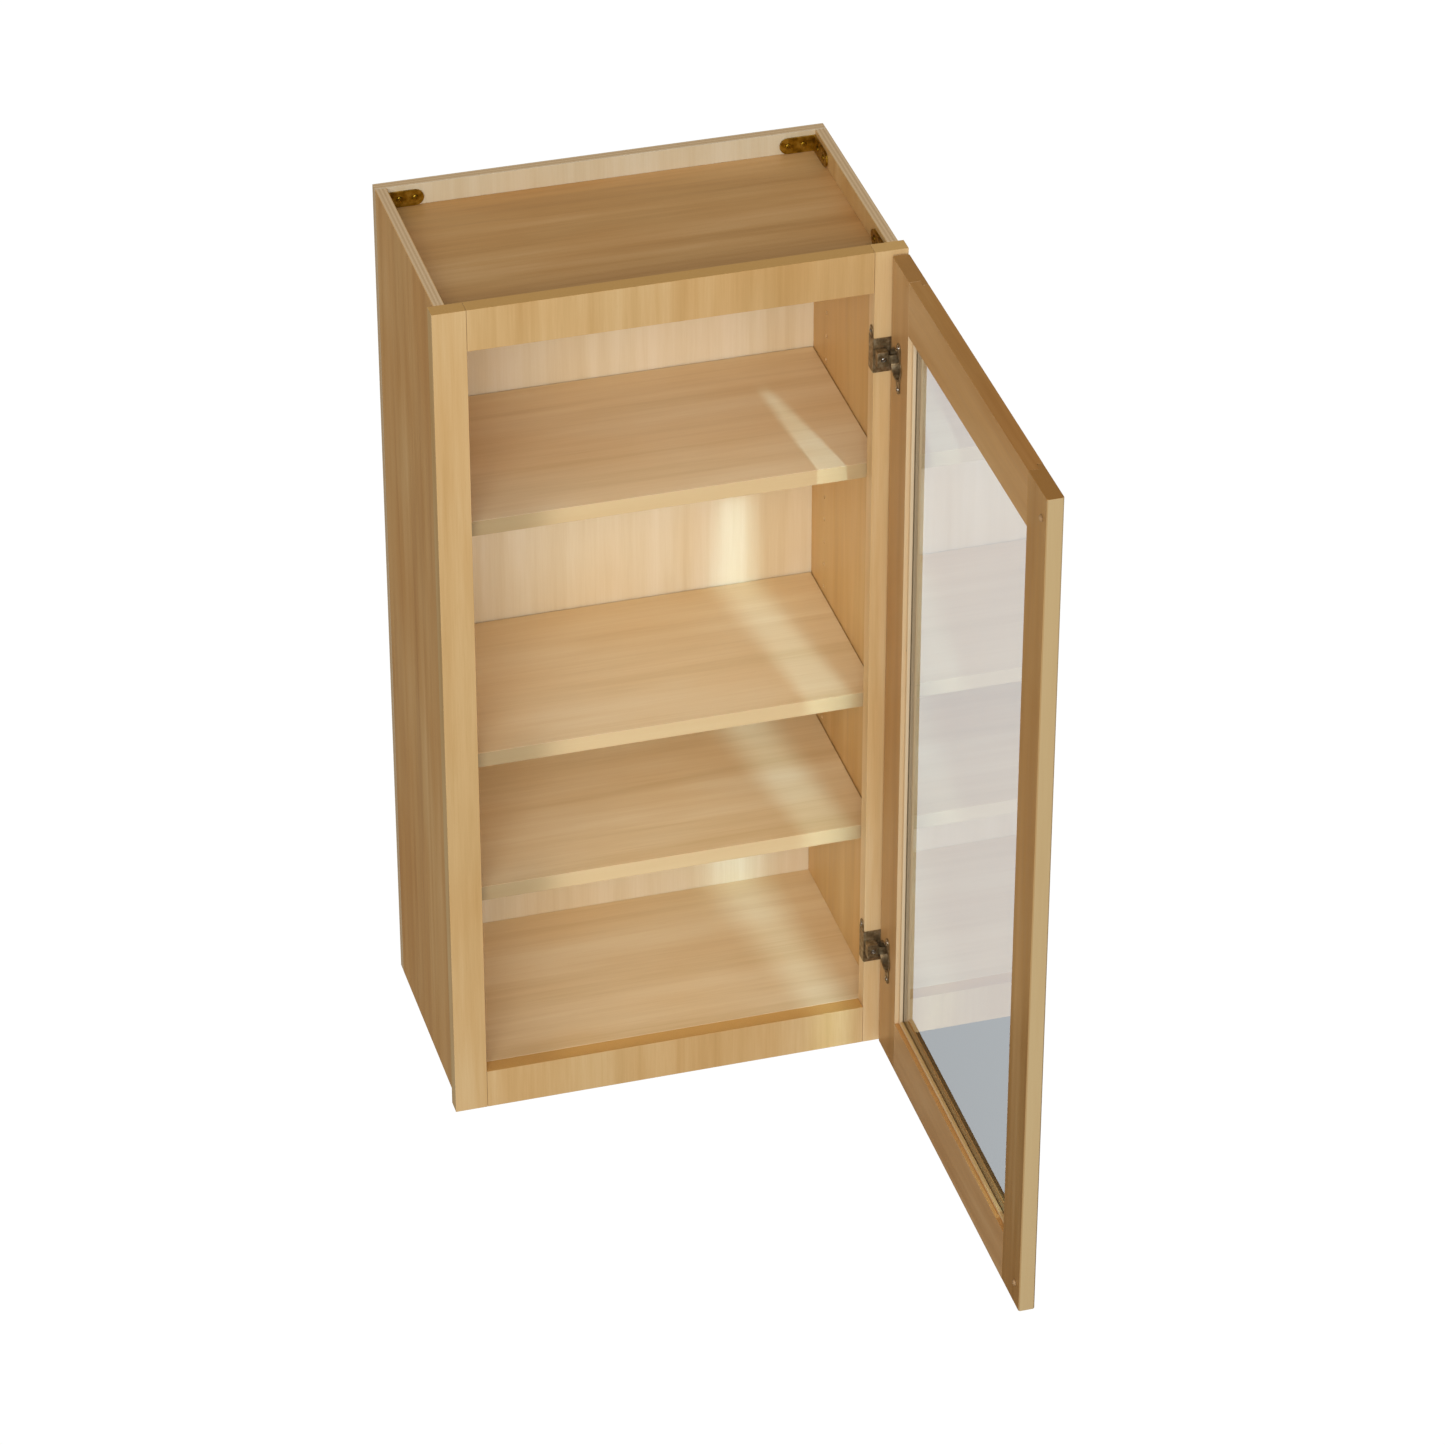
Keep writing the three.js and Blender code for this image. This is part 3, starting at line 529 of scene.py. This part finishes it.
def buildWrap(level, pivot):
    low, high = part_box(level + "_hinge_base")
    half, corner = wrapLook["halfHeight"], wrapLook["corner"]
    turn = (low.x + corner, low.y + corner)
    inside = arcPoints(turn, sheet - corner, range(90, -1, -15))
    outside = arcPoints(turn, -corner, range(0, 91, 15))
    outline = [(high.x, low.y), (high.x, low.y + sheet), *inside, (low.x + sheet, high.y), (low.x, high.y),
               *outside]
    bm = bmesh.new()
    addPrism(bm, outline, 2 * half, Matrix.Translation((0, 0, pivot.z - half)))
    easeAll(bm, wrapLook["ease"], 3)

    slotBm = bmesh.new()
    across, up = wrapLook["slotHalf"]
    ends = [*arcPoints((across - up, 0), up, range(-90, 91, 30)),
            *arcPoints((up - across, 0), up, range(90, 271, 30))]
    addPrism(slotBm, ends, wrapLook["slotDeep"], Matrix((
        (1, 0, 0, low.x + wrapLook["slot"][0]), (0, 0, 1, low.y - wrapLook["slotAhead"]),
        (0, 1, 0, pivot.z + half - wrapLook["slot"][1]), (0, 0, 0, 1))))
    bm = carve(bm, slotBm)

    tabBm = bmesh.new()
    tab, root = wrapLook["tabWide"] / 2, -wrapLook["tabRoot"]
    rounded = arcPoints((0, wrapLook["tabTop"] - tab), tab, range(0, 181, 15))
    addPrism(tabBm, [(tab, root), *rounded, (-tab, root)], sheet, Matrix((
        (0, 0, 1, low.x), (1, 0, 0, (low.y + sheet + high.y) / 2), (0, 1, 0, pivot.z + half), (0, 0, 0, 1))))
    easeAll(tabBm, wrapLook["tabEase"])
    joinInto(bm, tabBm)

    ribs = bmesh.new()
    ribHalf = wrapLook["ribHalf"]
    for away in wrapLook["ribs"]:
        addBlock(ribs, (low.x + away, low.y - wrapLook["ribProud"], pivot.z - ribHalf),
                 (low.x + away + wrapLook["ribWide"], low.y + sheet / 2, pivot.z + ribHalf))
    easeAll(ribs, wrapLook["ribEase"], 3)
    joinInto(bm, ribs)
    finishPiece(level + "_hinge_wrap", bm, "cabinet", nickelPlate, [level + "_hinge_base"])


# the arm: a grooved block on the base, and a neck that bends round to a barrel on the pin
armLook = {
    "blockLow": (-26.45 * mm, -0.8 * mm), "blockHigh": (-13.65 * mm, 10.5 * mm), "blockHalf": 9.3 * mm,
    "blockEase": 0.9 * mm, "grooves": (3.1 * mm, 9.7 * mm), "grooveHalf": 0.7 * mm, "grooveDeep": 0.6 * mm,
    "past": 1 * mm, "thick": 1.6 * mm, "neckHalf": 5 * mm, "neckEase": 0.3 * mm, "barrel": 2.1 * mm}
# middle line of the neck in millimetres from the hinge pin
neckLine = [(-16.25, 2.7), (-13.35, 0.9), (-11.45, -1.1), (-7.75, -1.6), (-3.25, -0.8), (0, 0)]


def smoothLine(points, parts):
    padded = [points[0], *points, points[-1]]
    smooth = []
    for a, b, c, d in zip(padded, padded[1:], padded[2:], padded[3:]):
        for step in range(parts):
            t = step / parts
            smooth.append(tuple(
                0.5 * (2 * q + (r - p) * t + (2 * p - 5 * q + 4 * r - s) * t * t
                       + (3 * q - p - 3 * r + s) * t ** 3)
                for p, q, r, s in zip(a, b, c, d)))
    return smooth + [points[-1]]


def strip(points, thick):
    sides = [[], []]
    for i, (x, y) in enumerate(points):
        ahead, behind = points[min(i + 1, len(points) - 1)], points[max(i - 1, 0)]
        run = Vector((ahead[0] - behind[0], ahead[1] - behind[1])).normalized()
        for side, sign in zip(sides, (-1, 1)):
            side.append((x - sign * run.y * thick / 2, y + sign * run.x * thick / 2))
    return sides[0] + sides[1][::-1]


def buildArm(level, pivot):
    bm = bmesh.new()
    blockLow = pivot + Vector((*armLook["blockLow"], -armLook["blockHalf"]))
    blockHigh = pivot + Vector((*armLook["blockHigh"], armLook["blockHalf"]))
    addBlock(bm, blockLow, blockHigh)
    easeAll(bm, armLook["blockEase"], 4)
    grooves = bmesh.new()
    grooveHalf, past = armLook["grooveHalf"], armLook["past"]
    for away in armLook["grooves"]:
        addBlock(grooves, (blockLow.x + away - grooveHalf, blockLow.y - past, blockLow.z - past),
                 (blockLow.x + away + grooveHalf, blockLow.y + armLook["grooveDeep"], blockHigh.z + past))
    bm = carve(bm, grooves)

    line = [(pivot.x + x * mm, pivot.y + y * mm) for x, y in smoothLine(neckLine, 4)]
    neck, barrel = armLook["neckHalf"], armLook["barrel"]
    neckBm = bmesh.new()
    addPrism(neckBm, strip(line, armLook["thick"]), 2 * neck, Matrix.Translation((0, 0, pivot.z - neck)))
    easeAll(neckBm, armLook["neckEase"])
    joinInto(bm, neckBm)
    addTurned(bm, [
        (pinRadius, -neck), (barrel - chamfer, -neck), (barrel, -neck + chamfer), (barrel, neck - chamfer),
        (barrel - chamfer, neck), (pinRadius, neck), (pinRadius, -neck)], Matrix.Translation(pivot), 28)
    finishPiece(level + "_hinge_gooseneck", bm, "cabinet", nickelPlate, [level + "_hinge_arm"])


# the cup, with two ears under its rim for the screws and two lugs inside that hold the pin
cupLook = {
    "fromEdge": 20.5 * mm, "underRim": 17.7 * mm, "earFromEdge": 30 * mm, "earWide": 6 * mm,
    "earReach": 25.5 * mm, "earSink": 0.3 * mm, "ease": 0.25 * mm,
    "lugDeep": (6.8 * mm, 12.5 * mm), "lugFromEdge": (9.4 * mm, 5.2 * mm), "lugOut": (5.4 * mm, 8.2 * mm)}
# half section of the cup in millimetres from its middle and from the door's face
cupSection = [
    (0, -12.8), (16.15, -12.8), (17.05, -12.4), (17.45, -11.5), (17.45, 0.3), (19.1, 0.3), (19.4, 0.6),
    (19.4, 1.0), (19.1, 1.3), (17.55, 1.3), (17.05, 1.0), (16.85, 0.4), (16.85, -11.3), (15.95, -12.2),
    (6, -12.2), (5.5, -11.9), (0, -11.9)]


def buildCup(level, pivot):
    bm = bmesh.new()
    centre = Vector((doorInner, doorEdge - cupLook["fromEdge"], pivot.z))
    addTurned(bm, [(radius * mm, height * mm) for radius, height in cupSection],
              facing(centre, (-1, 0, 0)), 64)
    earsBm = bmesh.new()
    wide, underRim = cupLook["earWide"], cupLook["underRim"]
    shift = cupLook["earFromEdge"] - cupLook["fromEdge"]
    tip = arcPoints((-shift, cupLook["earReach"]), wide, range(0, 181, 15))
    root = [(a, math.sqrt(underRim ** 2 - a ** 2)) for a in (-shift - wide, -shift, -shift + wide)]
    place = Matrix(((0, 0, -1, centre.x - cupLook["earSink"]), (1, 0, 0, centre.y), (0, 1, 0, centre.z),
                    (0, 0, 0, 1)))
    for sign in (1, -1):
        addPrism(earsBm, [(a, sign * b) for a, b in [*root, *tip]], sheet, place)
        lug = [pivot.z + sign * out for out in cupLook["lugOut"]]
        addBlock(earsBm, (doorInner + cupLook["lugDeep"][0], doorEdge - cupLook["lugFromEdge"][0], min(lug)),
                 (doorInner + cupLook["lugDeep"][1], doorEdge - cupLook["lugFromEdge"][1], max(lug)))
    bmesh.ops.recalc_face_normals(earsBm, faces=earsBm.faces)
    easeAll(earsBm, cupLook["ease"])
    joinInto(bm, earsBm)
    finishPiece(level + "_hinge_drawn_cup", bm, "door", nickelPlate, [level + "_hinge_cup"])


def buildRivet(level, pivot, half):
    bm = bmesh.new()
    end = pinRadius * 0.6
    addTurned(bm, [(0, -half), (end, -half), (pinRadius, -half + chamfer), (pinRadius, half - chamfer),
                   (end, half), (0, half)], Matrix.Translation(pivot), 24)
    finishPiece(level + "_hinge_rivet", bm, "door", brightZinc, [level + "_hinge_pin"])


# screws: base to stile, the adjusting screw on the arm, and two in the ears of the cup
hingeScrewLook = {"baseHead": (3.1 * mm, 1.1 * mm), "earHead": (3.6 * mm, 1.4 * mm), "earFace": 1.3 * mm,
                  "earOut": 26 * mm, "under": 1 * mm}


def buildScrews(level, pivot):
    prefix = level + "_hinge_"
    under = hingeScrewLook["under"]
    adjusterLow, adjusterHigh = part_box(prefix + "adjuster_screw")
    tabLow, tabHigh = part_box(prefix + "base_screw")
    spots = [((tabLow.x + under, (tabLow.y + tabHigh.y) / 2, (tabLow.z + tabHigh.z) / 2), (-1, 0, 0)),
             (((adjusterLow.x + adjusterHigh.x) / 2, adjusterLow.y + under, pivot.z), (0, -1, 0))]
    finishPiece(prefix + "base_screws", screwHeads(spots, *hingeScrewLook["baseHead"]), "cabinet",
                brightZinc, [prefix + "base_screw", prefix + "adjuster_screw"])
    earX, earY = doorInner - hingeScrewLook["earFace"], doorEdge - cupLook["earFromEdge"]
    spots = [((earX, earY, pivot.z + sign * hingeScrewLook["earOut"]), (-1, 0, 0)) for sign in (1, -1)]
    finishPiece(prefix + "ear_screws", screwHeads(spots, *hingeScrewLook["earHead"]), "door",
                brightZinc, [prefix + "cup_screw_upper", prefix + "cup_screw_lower"])


for level in ("upper", "lower"):
    pinLow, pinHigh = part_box(level + "_hinge_pin")
    pivot = (pinLow + pinHigh) / 2
    buildWrap(level, pivot)
    buildArm(level, pivot)
    buildCup(level, pivot)
    buildRivet(level, pivot, (pinHigh.z - pinLow.z) / 2)
    buildScrews(level, pivot)
print("hinges done")

# door bumpers: soft domes that stop the door slapping the frame, as shares of their radius and height
bumperLook = {"section": [(0, 0), (0.97, 0), (1, 0.15), (0.95, 0.45), (0.75, 0.8), (0.4, 0.97), (0, 1)],
              "steps": 40, "smooth": 60}
for level in ("upper", "lower"):
    node = level + "_bumper"
    low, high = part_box(node)
    radius, tall = (high.z - low.z) / 2, high.x - low.x
    bm = bmesh.new()
    addTurned(bm, [(radius * share, tall * rise) for share, rise in bumperLook["section"]],
              facing((high.x, (low.y + high.y) / 2, (low.z + high.z) / 2), (-1, 0, 0)), bumperLook["steps"])
    finishPiece(level + "_bumper_dome", bm, "door", clearRubber, [node],
                bumperLook["smooth"])

# brads that hold the glazing beads, a head every 12 cm or so
bradLook = {"pitch": 120 * mm, "radius": 0.8 * mm, "proud": 0.15 * mm, "steps": 12}
bm = bmesh.new()
radius, proud = bradLook["radius"], bradLook["proud"]
section = [(0, -proud * 3), (radius, -proud * 3), (radius, proud * 0.4), (radius * 0.7, proud), (0, proud)]
for node in beadNodes:
    low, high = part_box(node)
    along = 2 if high.z - low.z > high.y - low.y else 1
    length = high[along] - low[along]
    count = max(2, round(length / bradLook["pitch"]))
    for i in range(count):
        spot = (low + high) / 2
        spot.x = low.x
        spot[along] = low[along] + length * (i + 0.5) / count
        addTurned(bm, section, facing(spot, (-1, 0, 0)), bradLook["steps"])
finishPiece("glazing_brads", bm, "door", brightZinc)
print("bumpers and brads done")

# the floor of a room, as far below as under a cabinet hung at its usual height
floorLook = {"height": -1.905, "size": 60.0, "glow": 1.02}
bm = bmesh.new()
bmesh.ops.create_grid(bm, x_segments=1, y_segments=1, size=floorLook["size"] / 2)
bmesh.ops.translate(bm, vec=(0, 0, floorLook["height"]), verts=bm.verts)
mesh = bpy.data.meshes.new("floor")
bm.to_mesh(mesh)
bm.free()
floor = bpy.data.objects.new("floor", mesh)
scene.collection.objects.link(floor)
floorPaint, tree = emptyMaterial("paleFloorPaint")
shader = addNode(tree, "ShaderNodeEmission", {}, {"Color": (1, 1, 1, 1), "Strength": floorLook["glow"]})
addNode(tree, "ShaderNodeOutputMaterial", {}, {"Surface": shader.outputs[0]})
mesh.materials.append(floorPaint)
floor.visible_glossy = False
floor.visible_diffuse = False
floor.visible_shadow = False

worldLook = {"colour": "#ffffff", "strength": 0.52}
world = bpy.data.worlds.new("studio")
scene.world = world
world.use_nodes = True
background = world.node_tree.nodes["Background"]
background.inputs["Color"].default_value = linear(worldLook["colour"])
background.inputs["Strength"].default_value = worldLook["strength"]
world.cycles_visibility.glossy = False


def areaLight(name, look):
    light = bpy.data.lights.new(name, "AREA")
    light.shape = look.get("shape", "RECTANGLE")
    light.size, light.size_y = look["size"]
    light.energy = look["power"]
    light.color = linear(look["colour"])[:3]
    light.spread = math.radians(look.get("spread", 180))
    lamp = bpy.data.objects.new(name, light)
    scene.collection.objects.link(lamp)
    place = Vector(look["place"])
    lamp.location = place
    lamp.rotation_euler = (Vector(look["aim"]) - place).to_track_quat("-Z", "Y").to_euler()
    lamp.visible_camera = False
    return lamp


# A broad softbox in front, high on the left.
areaLight("frontSoftbox", {
    "size": (3.0, 2.4), "power": 136, "colour": "#fffdfa", "place": (-1.7, -4.9, 2.4), "aim": (0, -0.2, 0)})
# Light thrown back by the floor in front, which also gives the hinges something to mirror.
areaLight("floorBounce", {
    "size": (2.0, 2.0), "power": 4.0, "colour": "#ffe9cc", "place": (0.93, -2.7, -1.6),
    "aim": (0.2, -0.3, 0)})
# A soft panel in the door opening, shining inwards, so that the shelves are as light as the front.
openingBox = areaLight("openingSoftbox", {
    "size": (0.34, 0.95), "power": 0.64, "colour": "#ffffff", "spread": 150,
    "place": (0.03, -0.306, 0), "aim": (0.03, 0, 0)})
openingBox.visible_glossy = False
openingBox.visible_transmission = False
# A narrow sheet of light that slips in past the open door and leaves a soft stripe on the shelves.
sheetLook = {"direction": (-0.135, 1.0, -0.64), "aim": (0.1893, -0.2766, -0.22), "away": 0.225}
sheetAim = Vector(sheetLook["aim"])
stripe = areaLight("stripeLight", {
    "shape": "ELLIPSE", "size": (0.055, 1.0), "power": 0.095, "colour": "#b1e2ff", "spread": 8,
    "place": sheetAim - Vector(sheetLook["direction"]) * sheetLook["away"], "aim": sheetAim})
stripe.visible_glossy = False

cameraLook = {"lens": 148.94, "sensor": 36, "far": 100, "place": (-1.4974, -5.7101, 3.7088),
              "looking": (0.22962, 0.79941, -0.55518)}
camera = bpy.data.cameras.new("camera")
camera.lens = cameraLook["lens"]
camera.sensor_width = cameraLook["sensor"]
camera.clip_end = cameraLook["far"]
view = bpy.data.objects.new("camera", camera)
scene.collection.objects.link(view)
view.location = cameraLook["place"]
view.rotation_euler = Vector(cameraLook["looking"]).to_track_quat("-Z", "Y").to_euler()
scene.camera = view
scene.view_settings.view_transform = "Standard"
print("studio done")
